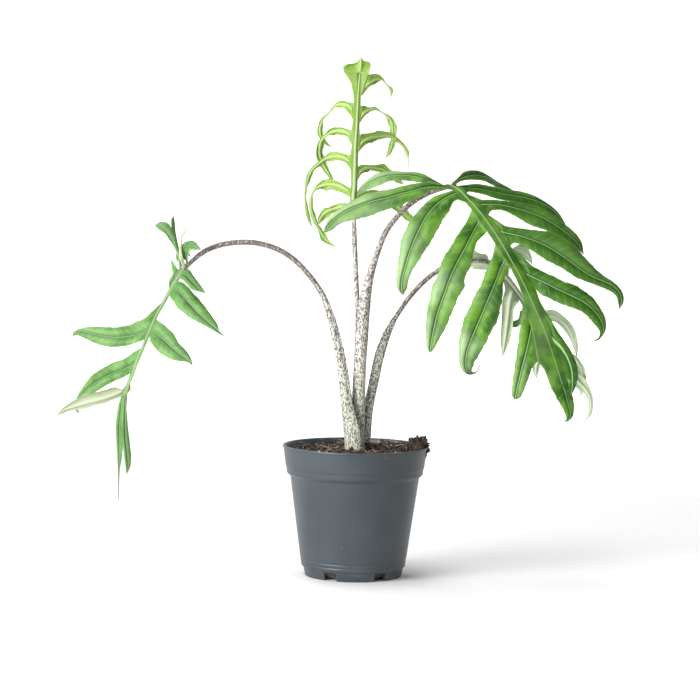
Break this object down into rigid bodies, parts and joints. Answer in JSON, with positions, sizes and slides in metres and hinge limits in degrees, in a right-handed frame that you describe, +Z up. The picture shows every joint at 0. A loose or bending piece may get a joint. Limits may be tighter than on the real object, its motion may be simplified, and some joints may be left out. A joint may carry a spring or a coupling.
{
  "type": "potted alocasia",
  "caption": "Potted foliage plant in a round tapered nursery pot: arching mottled stems rise from dark soil, each with a blade cut into long narrow curling lobes.",
  "frame": {"origin": "on the pot's axis, level with the surface that its feet stand on", "axes": "+Z up; -Y is the side that the plant is seen from; +X is the right-hand side from there"},
  "size_m": [0.4569, 0.1792, 0.4276],
  "materials": {
    "pot": "satin moulded plastic, dark slate grey",
    "soil": "moist potting mix with bark chips and perlite",
    "rootstock": "fibrous plant stock",
    "stem": "pale stalk with dense dark mottling",
    "leaf_left": "satin green leaf",
    "leaf_upright": "thin yellow-green leaf, seen against the light",
    "leaf_front": "glossy mid-green leaf",
    "leaf_right": "satin green leaf, pale beneath"
  },
  "bodies": {
    "root": {"pot": "pot", "soil": "soil", "rootstock": "rootstock", "petiole_left": "stem", "petiole_upright": "stem", "petiole_front": "stem", "petiole_right": "stem", "blade_left": "leaf_left", "blade_upright": "leaf_upright", "blade_front": "leaf_front", "blade_right": "leaf_right"}
  },
  "joints": []
}
